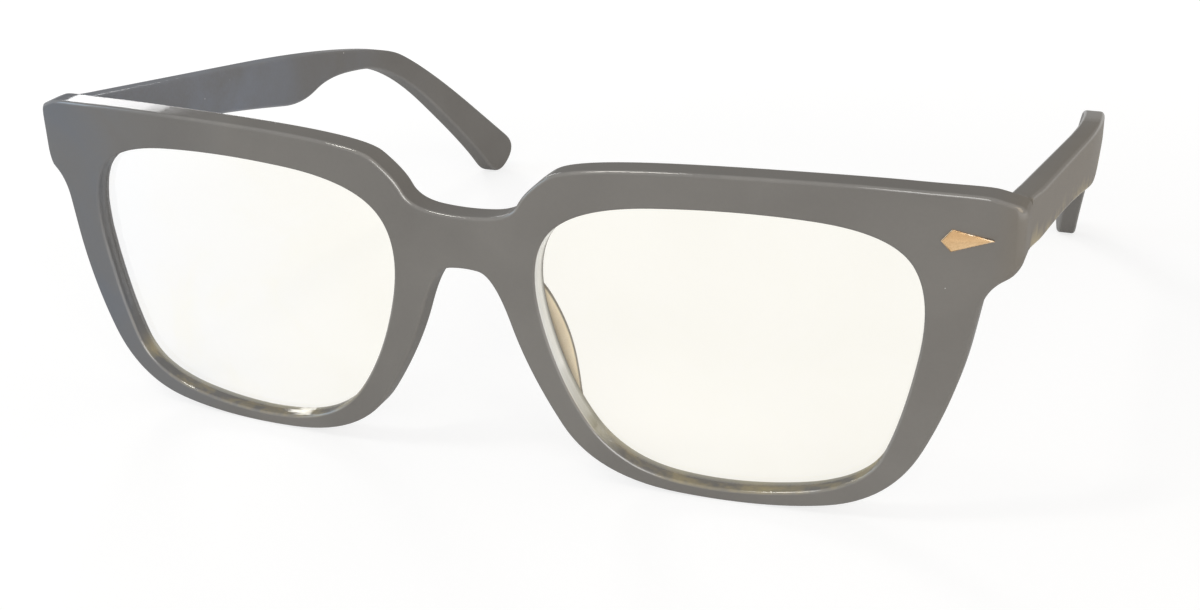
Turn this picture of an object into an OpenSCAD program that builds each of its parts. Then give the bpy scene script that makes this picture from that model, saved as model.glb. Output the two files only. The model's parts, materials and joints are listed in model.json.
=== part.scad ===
// Full-rim reading glasses with a saddle bridge and butt-jointed temples.
// The front is drawn in its own frame: X right, Y back towards the wearer, Z up, with
// the middle of the bridge at X = 0 and the lens centres at Z = 0. The whole object is
// then tipped until the rims and the temple tips stand on Z = 0.

/* [Front] */
// Width of a lens opening, to the corners of its outline before they are blended
lens_w = 53; // [49:0.5:57]
// Height of a lens opening, to the corners of its outline before they are blended
lens_h = 40.4; // [36:0.2:43]
// Distance between the two lens openings, to the same corners
bridge_w = 18.2; // [16:0.2:21]
// Thickness of the front from its face to its back
front_t = 3.9; // [3.6:0.1:4.4]
// Radius that the front is bowed to, seen from above
bow_r = 470; // [400:10:700]
// Radius that the endpieces sweep back to, seen from above
wrap_r = 35; // [32:1:60]
// Height of the rim above a lens
rim_top = 4.4; // [4:0.1:5.6]
// Height of the rim below a lens
rim_bottom = 1.7; // [1.5:0.1:2.8]
// Width of the rim beside a lens, towards the temple
rim_side = 5.7; // [5.2:0.1:6.6]
// Width of the rim beside a lens, towards the nose
rim_nasal = 4.1; // [3.6:0.1:4.6]
// Height of the bridge from its arch to its top
bridge_h = 7.2; // [6.6:0.1:8.6]
// Depth of the dip from the brow to the top of the bridge
bridge_dip = 9.1; // [7.5:0.1:10]
// Width of an endpiece beyond the lens opening
endpiece_w = 9.4; // [9:0.1:10.6]
// Height of an endpiece at its outer side
endpiece_h = 8.3; // [7.6:0.1:9]
// Drop of the brow line to the endpiece's outer corner
endpiece_drop = 2.6; // [1.8:0.1:3]

/* [Lenses] */
// Thickness of a lens
lens_t = 1.8; // [1.4:0.1:2.2]
// Depth of the groove that holds a lens
groove_d = 0.7; // [0.5:0.05:0.9]
// Width of the groove that holds a lens
groove_w = 0.9; // [0.7:0.05:1.1]

/* [Nose pads] */
// Length of a nose pad along the rim
pad_len = 22; // [20:0.5:24]
// Distance that a nose pad stands out behind the rim
pad_depth = 2.5; // [2.2:0.1:3.2]
// Thickness of a nose pad
pad_t = 2.4; // [1.8:0.1:2.8]
// Splay of a nose pad away from the nose, in degrees
pad_splay = 20; // [16:1:26]

/* [Temples] */
// Thickness of a temple
temple_t = 3.4; // [3.1:0.1:3.8]
// Height of a temple at the hinge
temple_h = 7; // [6.7:0.1:8]
// Length from the butt joint to the bend over the ear
temple_run = 104; // [92:1:112]
// Length from the bend over the ear to the tip
temple_hook = 48.5; // [40:0.5:52]
// Drop of the temple's straight part, in degrees
temple_drop = 10.2; // [7:0.2:12]
// Drop of the bent part below the straight part, in degrees
hook_drop = 31; // [26:1:38]
// Depth of the temple just before the step on its lower edge
step_depth = 9.3; // [8.5:0.1:11]
// Height of the temple between the step and the bend
neck_h = 5; // [4.8:0.1:6.5]
// Widest part of the tip
tip_h = 9.4; // [8:0.1:11]
// Distance that the tip turns in towards the head
tip_in = 9; // [6:0.5:11]

/* [Hinges] */
// Number of knuckles in one hinge, odd
knuckles = 5; // [3:2:5]
// Height of one knuckle
knuckle_h = 1.12; // [1:0.02:1.14]
// Radius of a knuckle
knuckle_r = 1.5; // [1.3:0.05:1.6]
// Radius of the hinge screw's shank
screw_r = 0.6; // [0.5:0.05:0.7]
// Radius of the hinge screw's head
screw_head_r = 1.1; // [0.9:0.05:1.3]
// Height of the hinge screw's head
screw_head_h = 0.6; // [0.4:0.05:0.7]
// Thickness of a hinge leaf
leaf_t = 1; // [0.8:0.05:1.2]
// Length of the leaf on the front
front_leaf_len = 6.6; // [6:0.1:7]
// Length of the leaf on the temple
temple_leaf_len = 11; // [9:0.5:14]
// Height of the leaf on the temple
temple_leaf_h = 4.4; // [4:0.1:4.8]
// Thickness of the core strip in a temple
core_t = 1.1; // [0.9:0.05:1.3]
// Height of the core strip in a temple
core_h = 1.6; // [1.3:0.1:1.9]
// Depth of the anchor posts under the bare endpiece's leaf
anchor_d = 1.5; // [1:0.1:1.8]
// Radius of an anchor post
anchor_r = 0.55; // [0.4:0.05:0.65]

/* [Arrowhead rivet] */
// Length of the rivet's head
rivet_l = 6.4; // [5.5:0.1:7]
// Height of the rivet's head
rivet_h = 2.9; // [2.4:0.1:3.4]
// Thickness of the rivet's head
rivet_t = 0.6; // [0.5:0.05:0.8]
// Depth that the rivet's head is let into the front
rivet_sink = 0.2; // [0.1:0.05:0.3]
// Radius of the rivet's post
post_r = 0.6; // [0.45:0.05:0.7]

/* [Fits] */
// Clearance between a pin and the bore that it turns in
run_gap = 0.03; // [0.02:0.01:0.08]
// Clearance between parts that are let in or bonded
seat_gap = 0.04; // [0.03:0.01:0.08]
// Clearance between neighbouring knuckles
knuckle_gap = 0.08; // [0.05:0.01:0.12]
// Clearance at the butt joint when a temple is open
butt_gap = 0.08; // [0.05:0.01:0.15]
// Clearance round a knuckle
knuckle_clear = 0.4; // [0.3:0.05:0.6]

/* [Hidden] */

acetate_color = [0.47, 0.46, 0.45];
pad_color = [0.77, 0.72, 0.64];
lens_color = [0.98, 0.97, 0.93, 0.35];
steel_color = [0.72, 0.72, 0.73];
gold_color = [0.86, 0.68, 0.45];

steps = 6;
far = 60;
blend_all = 99;

half_w = bridge_w / 2 + lens_w + endpiece_w;
lens_x = (bridge_w + lens_w) / 2;
brow_z = lens_h / 2 + rim_top;
bridge_z = brow_z - bridge_dip;
arch_z = bridge_z - bridge_h;
end_top = brow_z - endpiece_drop;
end_low = end_top - endpiece_h;

// Point on a lens outline, from shares of the half width and half height.
function on_lens(u, v) = [lens_x + u * lens_w / 2, v * lens_h / 2];
// Depth of the front, seen from above, at a depth d behind its face.
wrap_x = bridge_w / 2 + lens_w - 3;
wrap_turn = asin(wrap_x / bow_r);
wrap_mid = [(bow_r - wrap_r) * sin(wrap_turn), bow_r - (bow_r - wrap_r) * cos(wrap_turn)];
function swept(x, d) = abs(x) < (bow_r - d) * sin(wrap_turn)
    ? bow_r - sqrt(pow(bow_r - d, 2) - x * x)
    : wrap_mid.y - sqrt(pow(wrap_r - d, 2) - pow(abs(x) - wrap_mid.x, 2));
function back_y(x) = swept(x, front_t);

// Blends one corner p of an outline, between its neighbours a and b.
function corner(p, a, b, cut) =
    let (la = norm(a - p), lb = norm(b - p),
         s = p + (a - p) * min(cut, la / 2) / la,
         e = p + (b - p) * min(cut, lb / 2) / lb)
    cut == 0 ? [p] : [for (i = [0:steps]) let (t = i / steps)
        (1 - t) * (1 - t) * s + 2 * t * (1 - t) * p + t * t * e];
function flat2(p) = [p.x, p.y];
function spaced(pts) = [for (i = [0:len(pts) - 1])
    let (before = pts[(i + len(pts) - 1) % len(pts)])
    if (norm(pts[i] - before) > 0.02) pts[i]];
// Closed outline through [x, y, cut] corners.
function outline(c) = spaced([for (i = [0:len(c) - 1])
    each corner(flat2(c[i]), flat2(c[(i + len(c) - 1) % len(c)]),
                flat2(c[(i + 1) % len(c)]), c[i].z)]);
// Open line through [x, y, cut] corners.
function path(c) = [
    flat2(c[0]),
    for (i = [1:len(c) - 2]) each corner(flat2(c[i]), flat2(c[i - 1]), flat2(c[i + 1]), c[i].z),
    flat2(c[len(c) - 1])
];
function side_of(a, b) = let (d = (b - a) / norm(b - a)) [-d.y, d.x];
// Closed outline moved outwards by d, for points that run clockwise.
function grown(pts, d) = [for (i = [0:len(pts) - 1])
    pts[i] + d * side_of(pts[(i + len(pts) - 1) % len(pts)], pts[(i + 1) % len(pts)])];
// Line moved to its left by d.
function beside(pts, d) = [for (i = [0:len(pts) - 1])
    pts[i] + d * side_of(pts[max(i - 1, 0)], pts[min(i + 1, len(pts) - 1)])];
function reversed(pts) = [for (i = [len(pts) - 1:-1:0]) pts[i]];
function band(pts, a, b) = concat(beside(pts, a), reversed(beside(pts, b)));
function flipped(c) = [for (i = [len(c) - 2:-1:1]) [-c[i].x, c[i].y, c[i].z]];

lens_corners = [for (p = [[-0.745, 0.92], [0.05, 1], [0.78, 0.925], [0.98, 0.515], [0.865, -0.34],
                          [0.7, -0.85], [0.03, -1], [-0.545, -0.89], [-0.85, -0.32], [-1, 0.52]])
    concat(on_lens(p.x, p.y), [blend_all])];
opening = outline(lens_corners);

temporal = on_lens(0.89, -0.16) + [rim_side, 0];
low_temporal = on_lens(0.72, -0.84) + [0.52 * rim_side, -rim_bottom];
low_nasal = on_lens(-0.56, -0.88) + [-0.7 * rim_nasal, -1.5 * rim_bottom];
nasal = on_lens(-0.86, -0.29) + [-rim_nasal, 0];
brow_in = on_lens(-0.75, 1) + [0, rim_top];

front_half = [
    [0, bridge_z, blend_all],
    [bridge_w * 0.4, bridge_z + 0.7, blend_all],
    [bridge_w * 0.51, bridge_z + 0.5 * bridge_dip, blend_all],
    [brow_in.x, brow_in.y, blend_all],
    [half_w - 0.71 * endpiece_w, brow_z + 0.2, blend_all],
    [half_w, end_top, 1.5],
    [half_w, end_low, 2],
    [half_w - 0.44 * endpiece_w, end_low - 0.26 * endpiece_h, 3],
    [temporal.x, temporal.y, blend_all],
    [low_temporal.x, low_temporal.y, blend_all],
    [lens_x + 0.11 * lens_w, -lens_h / 2 - rim_bottom, blend_all],
    [low_nasal.x, low_nasal.y, blend_all],
    [nasal.x, nasal.y, blend_all],
    [bridge_w * 0.24, arch_z - 0.7, blend_all],
    [0, arch_z, blend_all]
];
front_outline = outline(concat(front_half, flipped(front_half)));

// The temple's side view, in Y and Z of the front, and its plan, in X and Y.
temple_out = 0.05;
root_x = half_w + temple_out;
root_y = back_y(root_x - temple_t / 2);
root_top = end_top - 0.1;
function along(run, up) = [root_y + run * cos(temple_drop) + up * sin(temple_drop),
                           root_top - run * sin(temple_drop) + up * cos(temple_drop)];
fall = temple_drop + hook_drop;
function down_hook(run, up) = along(temple_run, 0) +
    [run * cos(fall) + up * sin(fall), -run * sin(fall) + up * cos(fall)];
step_run = 0.66 * temple_run;
function cornered(p, cut) = [p.x, p.y, cut];
root_lead = 6;
temple_outline = outline([
    cornered(along(-root_lead, 0), 0),
    cornered(along(0.9 * temple_run, 0), 0.4 * temple_run),
    cornered(down_hook(0.17 * temple_hook, -0.3 * neck_h), 0.46 * temple_hook),
    cornered(down_hook(1.02 * temple_hook, -0.3 * neck_h), 0.55 * tip_h),
    cornered(down_hook(0.98 * temple_hook, -0.3 * neck_h - tip_h), 0.55 * tip_h),
    cornered(down_hook(0.71 * temple_hook, -0.3 * neck_h - 0.73 * tip_h), 0.3 * temple_hook),
    cornered(down_hook(-0.02 * temple_hook, -1.2 * neck_h), 0.46 * temple_hook),
    cornered(along(step_run + 0.09 * temple_run, -neck_h), 0.08 * temple_run),
    cornered(along(step_run, -step_depth), 0.06 * temple_run),
    cornered(along(0.55 * step_run, -temple_h), 0.2 * temple_run),
    cornered(along(-root_lead, -temple_h), 0)
]);
bend_y = along(temple_run, 0).x;
plan_out = 2.3;
plan_bend = bend_y - 0.18 * temple_run;
tip_y = max([for (p = temple_outline) p.x]);
temple_path = path([
    [root_x, root_y - root_lead, 0],
    [root_x + plan_out, plan_bend, 0.31 * temple_run],
    [root_x + plan_out - tip_in * 1.15, tip_y + 1, 0]
]);
core_start = 8;
core_path = path([
    cornered(along(core_start, -temple_h / 2), 0),
    cornered(along(0.99 * temple_run, -0.56 * neck_h), 0.5 * temple_hook),
    cornered(down_hook(0.81 * temple_hook, -0.62 * tip_h), 0)
]);

// Hinge places. The axis is upright in the front's frame.
axis_in = knuckle_r + knuckle_clear;
axis_x = root_x - temple_t - axis_in;
axis_y = back_y(axis_x) + axis_in;
pitch = knuckle_h + knuckle_gap;
hinge_h = knuckles * pitch - knuckle_gap;
hinge_z = root_top - temple_h / 2 - hinge_h / 2 - 0.1;
leaf_x = axis_x + 0.9 - front_leaf_len / 2 + 1;
leaf_turn = asin((leaf_x - wrap_mid.x) / (wrap_r - front_t));
leaf_y = back_y(leaf_x);
rivet_x = leaf_x - 1.6;
rivet_z = hinge_z + hinge_h / 2;
temple_leaf_y = axis_y - 0.9;

// Tip of the whole object: the rims and the temple tips come to one height.
function lowest(pts, a) = min([for (p = pts) p.y * cos(a) + p.x * sin(a)]);
rim_low_points = [for (p = front_outline) [swept(p.x, 0), p.y]];
function rest_gap(a) = lowest(rim_low_points, a) - lowest(temple_outline, a);
function solve_rest(lo, hi, n) = let (mid = (lo + hi) / 2)
    n == 0 ? mid : rest_gap(mid) > 0 ? solve_rest(mid, hi, n - 1) : solve_rest(lo, mid, n - 1);
rest_tilt = solve_rest(-10, 20, 40);
rest_z = -lowest(rim_low_points, rest_tilt);
front_y = min([for (p = rim_low_points) p.x * cos(rest_tilt) - p.y * sin(rest_tilt)]);
rear_y = max([for (p = temple_outline) p.x * cos(rest_tilt) - p.y * sin(rest_tilt)]);

module at_rest() {
    translate([0, -(front_y + rear_y) / 2, rest_z]) rotate([rest_tilt, 0, 0]) children();
}
// Draws one side's part, given for +X, on the left instead.
module on_side(side) {
    if (side > 0) children();
    else mirror([1, 0, 0]) children();
}
module through_y() {
    translate([0, far, 0]) rotate([90, 0, 0]) linear_extrude(2 * far) children();
}
module through_x() {
    rotate([90, 0, 90]) linear_extrude(2 * far) children();
}
module upright(z, h) {
    translate([0, 0, z]) linear_extrude(h) children();
}
// Space behind the front's bowed and swept face, from a depth d on.
module behind(d) {
    edge = (bow_r - d) * sin(wrap_turn);
    intersection() {
        translate([0, bow_r, -far]) cylinder(r = bow_r - d, h = 2 * far, $fn = 360);
        translate([-edge, -far, -far]) cube([2 * edge, 4 * far, 2 * far]);
    }
    for (side = [-1, 1]) on_side(side) {
        intersection() {
            translate([wrap_mid.x, wrap_mid.y, -far]) cylinder(r = wrap_r - d, h = 2 * far, $fn = 360);
            translate([edge - 2, -far, -far]) cube([far, 4 * far, 2 * far]);
        }
        translate([edge - 2, wrap_mid.y, -far]) cube([wrap_mid.x + wrap_r - d - edge, 2 * far, 2 * far]);
    }
}
module bowed(a, b) {
    difference() {
        behind(a);
        behind(b);
    }
}
module bowed_shape(pts, a, b) {
    intersection() {
        translate([0, far - 1, 0]) rotate([90, 0, 0]) linear_extrude(far) polygon(pts);
        bowed(a, b);
    }
}
groove_y = (front_t - groove_w) / 2;
module front() {
    color(acetate_color) at_rest() difference() {
        bowed_shape(front_outline, 0, front_t);
        for (side = [-1, 1]) on_side(side) {
            through_y() polygon(opening);
            bowed_shape(grown(opening, groove_d), groove_y, groove_y + groove_w);
            leaf_place() translate([-front_leaf_len / 2 - seat_gap, -leaf_t - seat_gap, hinge_z - seat_gap])
                cube([front_leaf_len + 2 * seat_gap, leaf_t + 2, hinge_h + 2 * seat_gap]);
        }
        on_side(-1) anchors(seat_gap);
        rivet_place() {
            translate([0, rivet_sink, 0]) rotate([90, 0, 0]) linear_extrude(3) rivet_head(seat_gap);
            rotate([90, 0, 0]) cylinder(r = post_r + seat_gap, h = 4 * front_t, center = true, $fn = 32);
        }
    }
}

module lens(side) {
    color(lens_color) at_rest() on_side(side) {
        bowed_shape(grown(opening, -seat_gap), (front_t - lens_t) / 2, (front_t + lens_t) / 2);
        bowed_shape(grown(opening, groove_d - seat_gap), groove_y + seat_gap, groove_y + groove_w - seat_gap);
    }
}

pad_turn = 18.3;
module nose_pad(side) {
    mid = on_lens(-0.84, -0.13) + [-rim_nasal * 0.5, 0];
    crescent = outline([
        [-pad_len / 2, -pad_depth / 2, 0], [-pad_len / 2, pad_depth / 10, pad_depth / 10],
        [-pad_len * 0.32, pad_depth * 0.66, pad_len / 4], [0, pad_depth * 1.15, blend_all],
        [pad_len * 0.34, pad_depth * 0.8, pad_len / 4],
        [pad_len / 2, pad_depth / 10, pad_depth / 10], [pad_len / 2, -pad_depth / 2, 0]
    ]);
    color(pad_color) at_rest() on_side(side) intersection() {
        translate([mid.x, back_y(mid.x), mid.y]) rotate([0, -pad_turn, 0]) rotate([0, 0, -pad_splay])
            translate([-pad_t / 2, 0, 0]) rotate([90, 0, 90]) mirror([1, -1, 0])
                linear_extrude(pad_t) polygon(crescent);
        behind(front_t + seat_gap);
    }
}

// Frame on the back of an endpiece: Y runs out of the surface and X along it.
module leaf_place() {
    translate([leaf_x, leaf_y, 0]) rotate([0, 0, leaf_turn]) children();
}
module knuckle_row(first) {
    for (i = [first:2:knuckles - 1]) upright(hinge_z + i * pitch, knuckle_h) children();
}
module knuckle_bore() {
    translate([axis_x, axis_y, hinge_z - 1]) cylinder(r = screw_r + run_gap, h = hinge_h + 2, $fn = 48);
}
web = 0.8 * knuckle_r;
leaf_run = (axis_x - leaf_x) * cos(leaf_turn) + (axis_y - leaf_y) * sin(leaf_turn);
leaf_rise = (axis_y - leaf_y) * cos(leaf_turn) - (axis_x - leaf_x) * sin(leaf_turn);
module anchors(gap) {
    for (x = [-1.9, 1.1]) leaf_place() translate([x, -leaf_t + 0.1, hinge_z + hinge_h / 2])
        rotate([90, 0, 0]) cylinder(r = anchor_r + gap, h = anchor_d + 0.1 + gap, $fn = 32);
}
module front_hinge_leaf(side) {
    color(steel_color) at_rest() on_side(side) difference() {
        union() {
            leaf_place() translate([-front_leaf_len / 2, -leaf_t, hinge_z])
                cube([front_leaf_len, leaf_t, hinge_h]);
            knuckle_row(0) {
                translate([axis_x, axis_y]) circle(r = knuckle_r, $fn = 48);
                leaf_place() translate([leaf_run - web, -leaf_t / 2]) square([2 * web, leaf_rise + leaf_t / 2]);
            }
            if (side < 0) anchors(0);
        }
        knuckle_bore();
        if (side > 0) rivet_place() rotate([90, 0, 0])
            cylinder(r = post_r + seat_gap, h = 6 * front_t, center = true, $fn = 32);
    }
}

// Frame of the temple's inner face at the leaf, with Y along the temple.
module temple_leaf_place() {
    translate([root_x - temple_t + leaf_shift, temple_leaf_y, along(temple_leaf_y - root_y, 0).y - temple_h / 2])
        rotate([-temple_drop, 0, 0]) children();
}
leaf_shift = (temple_leaf_len / 2) * plan_out / (plan_bend - root_y + root_lead);
module temple_leaf_plate(gap, lead) {
    temple_leaf_place() translate([-gap - leaf_shift, -gap - lead, -temple_leaf_h / 2 - gap])
        cube([leaf_t + leaf_shift + 2 * gap, temple_leaf_len + lead + 2 * gap, temple_leaf_h + 2 * gap]);
}
module temple_leaf_foot(gap) {
    temple_leaf_place() translate([0, core_start - 2.5, -core_h / 2 - 0.4 - gap])
        cube([temple_t / 2 + core_t / 2 + 0.4 - leaf_shift + gap, 4, core_h + 0.8 + 2 * gap]);
}
module temple_hinge_leaf(side) {
    arm_y = axis_y - 0.55;
    color(steel_color) at_rest() on_side(side) difference() {
        union() {
            intersection() {
                temple_leaf_plate(0, 0);
                behind(front_t + butt_gap + seat_gap);
            }
            temple_leaf_foot(0);
            knuckle_row(1) {
                translate([axis_x, axis_y]) circle(r = knuckle_r, $fn = 48);
                translate([axis_x, arm_y]) square([axis_in + leaf_t / 2, axis_y + knuckle_r - arm_y]);
            }
        }
        knuckle_bore();
        core_shape(seat_gap);
    }
}

module hinge_screw(side) {
    slot_w = 0.35;
    color(steel_color) at_rest() on_side(side) translate([axis_x, axis_y, hinge_z]) difference() {
        union() {
            translate([0, 0, -0.3]) cylinder(r = screw_r, h = hinge_h + 0.4, $fn = 48);
            translate([0, 0, hinge_h + seat_gap]) cylinder(r = screw_head_r, h = screw_head_h, $fn = 48);
        }
        translate([-screw_head_r - 1, -slot_w / 2, hinge_h + seat_gap + screw_head_h / 2])
            cube([2 * screw_head_r + 2, slot_w, screw_head_h]);
    }
}

// Frame on the front's face at the rivet's post, square to the bowed face.
module rivet_place() {
    translate([rivet_x, swept(rivet_x, 0), rivet_z])
        rotate([0, 0, asin((rivet_x - wrap_mid.x) / wrap_r)]) children();
}
module rivet_head(gap) {
    tail = 0.2 * rivet_l;
    polygon([
        [-tail - gap * 1.5, 0], [0, rivet_h / 2 + gap * 1.2],
        [rivet_l - tail + gap * 4, 0], [0, -rivet_h / 2 - gap * 1.2]
    ]);
}
module arrowhead_rivet() {
    peen_r = post_r + 0.3;
    peen_h = 0.35;
    color(gold_color) at_rest() rivet_place() {
        translate([0, rivet_sink - seat_gap, 0]) rotate([90, 0, 0]) linear_extrude(rivet_t) rivet_head(0);
        translate([0, front_t + seat_gap + peen_h, 0]) rotate([90, 0, 0])
            cylinder(r = post_r, h = front_t + peen_h, $fn = 32);
        translate([0, front_t + seat_gap + peen_h, 0]) rotate([90, 0, 0])
            cylinder(r = peen_r, h = peen_h, $fn = 32);
    }
}

module core_shape(gap) {
    intersection() {
        through_x() polygon(band(core_path, core_h / 2 + gap, -core_h / 2 - gap));
        upright(-far, 2 * far) polygon(band(temple_path,
            (temple_t - core_t) / 2 - gap, (temple_t + core_t) / 2 + gap));
    }
}
module core_strip(side) {
    color(steel_color) at_rest() on_side(side) core_shape(0);
}

module temple(side) {
    color(acetate_color) at_rest() on_side(side) difference() {
        intersection() {
            through_x() polygon(temple_outline);
            upright(-far, 2 * far) polygon(band(temple_path, 0, temple_t));
            behind(front_t + butt_gap);
        }
        temple_leaf_plate(seat_gap, 3);
        temple_leaf_foot(seat_gap);
        core_shape(seat_gap);
    }
}

front();
lens(-1);  // lens_left
lens(1);  // lens_right
nose_pad(-1);  // nose_pad_left
nose_pad(1);  // nose_pad_right
front_hinge_leaf(-1);  // front_hinge_leaf_left
front_hinge_leaf(1);  // front_hinge_leaf_right
temple_hinge_leaf(-1);  // temple_hinge_leaf_left
temple_hinge_leaf(1);  // temple_hinge_leaf_right
hinge_screw(-1);  // hinge_screw_left
hinge_screw(1);  // hinge_screw_right
arrowhead_rivet();
temple(-1);  // temple_left
temple(1);  // temple_right
core_strip(-1);  // core_strip_left
core_strip(1);  // core_strip_right
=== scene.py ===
# Reading glasses: polished grey acetate, clear lenses, bonded nose pads and one arrowhead rivet.
import json
import math
import bmesh
import bpy
from mathutils import Matrix, Vector
from mathutils.geometry import delaunay_2d_cdt


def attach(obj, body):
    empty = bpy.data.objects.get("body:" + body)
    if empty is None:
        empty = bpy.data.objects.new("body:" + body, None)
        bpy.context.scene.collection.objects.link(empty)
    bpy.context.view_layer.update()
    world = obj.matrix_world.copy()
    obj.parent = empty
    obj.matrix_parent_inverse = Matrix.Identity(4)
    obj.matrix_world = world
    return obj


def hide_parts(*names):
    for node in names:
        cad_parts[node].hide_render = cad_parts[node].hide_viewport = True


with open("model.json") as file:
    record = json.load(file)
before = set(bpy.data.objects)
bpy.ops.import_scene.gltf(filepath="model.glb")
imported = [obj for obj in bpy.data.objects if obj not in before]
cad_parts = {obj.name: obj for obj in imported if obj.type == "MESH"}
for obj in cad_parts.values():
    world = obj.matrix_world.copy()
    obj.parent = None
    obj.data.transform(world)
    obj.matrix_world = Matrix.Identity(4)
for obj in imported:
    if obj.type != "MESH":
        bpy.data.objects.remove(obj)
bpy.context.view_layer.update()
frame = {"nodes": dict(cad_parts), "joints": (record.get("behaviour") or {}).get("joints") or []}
print("frame loaded,", len(frame["nodes"]), "parts")

# Lengths of the pieces are in millimetres, in the front's own frame: X right, Y back, Z up from
# the lens centres. step is the spacing of an outline's points, grid that of the points inside.
front = {"thick": 3.9, "bow": 470, "wrap": 35, "lensWide": 53, "lensHigh": 40.4, "apart": 18.2,
         "rimTop": 4.4, "rimLow": 1.7, "rimSide": 5.7, "rimNasal": 4.1,
         "bridgeHigh": 7.2, "bridgeDip": 9.1, "endWide": 9.4, "endHigh": 8.3, "endDrop": 2.6,
         "edge": 0.45, "backEdge": 0.6, "holeEdge": 0.4, "cornerEdge": 1.1, "buttEdge": 0.04,
         "cornerRun": 1.2, "cornerLow": 3, "cornerFade": 2, "wrapIn": 3, "step": 0.5, "grid": 1.6}

halfWide = front["apart"] / 2 + front["lensWide"] + front["endWide"]
lensX = (front["apart"] + front["lensWide"]) / 2
browZ = front["lensHigh"] / 2 + front["rimTop"]
bridgeZ = browZ - front["bridgeDip"]
archZ = bridgeZ - front["bridgeHigh"]
endTop = browZ - front["endDrop"]
endLow = endTop - front["endHigh"]
wrapX = front["apart"] / 2 + front["lensWide"] - front["wrapIn"]
wrapTurn = math.asin(wrapX / front["bow"])
wrapMid = ((front["bow"] - front["wrap"]) * math.sin(wrapTurn),
           front["bow"] - (front["bow"] - front["wrap"]) * math.cos(wrapTurn))


def swept(x, depth):
    # the front's depth seen from above, behind its bowed and swept face
    if abs(x) < (front["bow"] - depth) * math.sin(wrapTurn):
        return front["bow"] - math.sqrt((front["bow"] - depth) ** 2 - x * x)
    square = (front["wrap"] - depth) ** 2 - (abs(x) - wrapMid[0]) ** 2
    return wrapMid[1] - math.sqrt(max(square, 0.01))


def faceNormal(x):
    step = 0.05
    slope = (swept(x + step, 0) - swept(x - step, 0)) / (2 * step)
    return Vector((slope, -1, 0)).normalized()


# The hinge axis gives the tilt and the place of the front's own frame.
hinge = {"x": 66.25, "y": 11.4775, "z": 18.3}
foldRight = next(j for j in frame["joints"] if j["name"] == "fold_right")
restTilt = math.atan2(-foldRight["axis"][1], foldRight["axis"][2])
tip = Matrix.Rotation(restTilt, 4, "X")
shift = Vector(foldRight["pos_m"]) - tip @ (Vector((hinge["x"], hinge["y"], hinge["z"])) * 0.001)
toWorld = Matrix.Translation(shift) @ tip @ Matrix.Scale(0.001, 4)
turnOnly = tip.to_3x3()


def clamped(value):
    return max(0, min(1, value))


def corner(p, a, b, cut, steps):
    # the corner p between a and b, rounded from cut before it to cut after it
    if cut == 0:
        return [p]
    la, lb = (a - p).length, (b - p).length
    s = p + (a - p) * min(cut, la / 2) / la
    e = p + (b - p) * min(cut, lb / 2) / lb
    shares = [i / steps for i in range(steps + 1)]
    return [(1 - t) ** 2 * s + 2 * t * (1 - t) * p + t * t * e for t in shares]


def outline(corners, steps=14):
    c = [(Vector(p[:2]), p[2]) for p in corners]
    n = len(c)
    return [q for i in range(n)
            for q in corner(c[i][0], c[i - 1][0], c[(i + 1) % n][0], c[i][1], steps)]


def openPath(corners, steps=14):
    c = [(Vector(p[:2]), p[2]) for p in corners]
    inner = [q for i in range(1, len(c) - 1)
             for q in corner(c[i][0], c[i - 1][0], c[i + 1][0], c[i][1], steps)]
    return [c[0][0]] + inner + [c[-1][0]]


def evenly(points, step):
    # a closed outline again, with points at even steps
    closed = points + [points[0]]
    lengths = [0]
    for a, b in zip(closed, closed[1:]):
        lengths.append(lengths[-1] + (b - a).length)
    count = max(12, round(lengths[-1] / step))
    out, k = [], 0
    for i in range(count):
        want = lengths[-1] * i / count
        while lengths[k + 1] < want:
            k += 1
        t = (want - lengths[k]) / max(lengths[k + 1] - lengths[k], 1e-9)
        out.append(closed[k].lerp(closed[k + 1], t))
    return out


def sideways(points):
    # outward normals of a closed outline that runs clockwise
    n = len(points)
    out = []
    for i in range(n):
        d = (points[(i + 1) % n] - points[i - 1]).normalized()
        out.append(Vector((-d.y, d.x)))
    return out


def onLens(u, v):
    # a place in the right lens's box, from -1 to 1 each way
    return Vector((lensX + u * front["lensWide"] / 2, v * front["lensHigh"] / 2))


whole = 99  # cuts a corner back to the middle of both its sides
lensShares = [(-0.745, 0.92), (0.05, 1), (0.78, 0.925), (0.98, 0.515), (0.865, -0.34),
              (0.7, -0.85), (0.03, -1), (-0.545, -0.89), (-0.85, -0.32), (-1, 0.52)]
opening = outline([(*onLens(u, v), whole) for u, v in lensShares])

browIn = onLens(-0.75, 1) + Vector((0, front["rimTop"]))
temporal = onLens(0.89, -0.16) + Vector((front["rimSide"], 0))
lowTemporal = onLens(0.72, -0.84) + Vector((0.52 * front["rimSide"], -front["rimLow"]))
lowNasal = onLens(-0.56, -0.88) + Vector((-0.7 * front["rimNasal"], -1.5 * front["rimLow"]))
nasal = onLens(-0.86, -0.29) + Vector((-front["rimNasal"], 0))
halfCorners = [
    (0, bridgeZ, whole),
    (front["apart"] * 0.4, bridgeZ + 0.7, whole),
    (front["apart"] * 0.51, bridgeZ + 0.5 * front["bridgeDip"], whole),
    (*browIn, whole),
    (halfWide - 0.71 * front["endWide"], browZ + 0.2, whole),
    (halfWide, endTop, 1.5),
    (halfWide, endLow, 2),
    (halfWide - 0.44 * front["endWide"], endLow - 0.26 * front["endHigh"], 3),
    (*temporal, whole),
    (*lowTemporal, whole),
    (lensX + 0.11 * front["lensWide"], -front["lensHigh"] / 2 - front["rimLow"], whole),
    (*lowNasal, whole),
    (*nasal, whole),
    (front["apart"] * 0.24, archZ - 0.7, whole),
    (0, archZ, whole)]
frontOutline = outline(halfCorners + [(-x, z, cut) for x, z, cut in halfCorners[-2:0:-1]])
print("outlines drawn")


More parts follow.
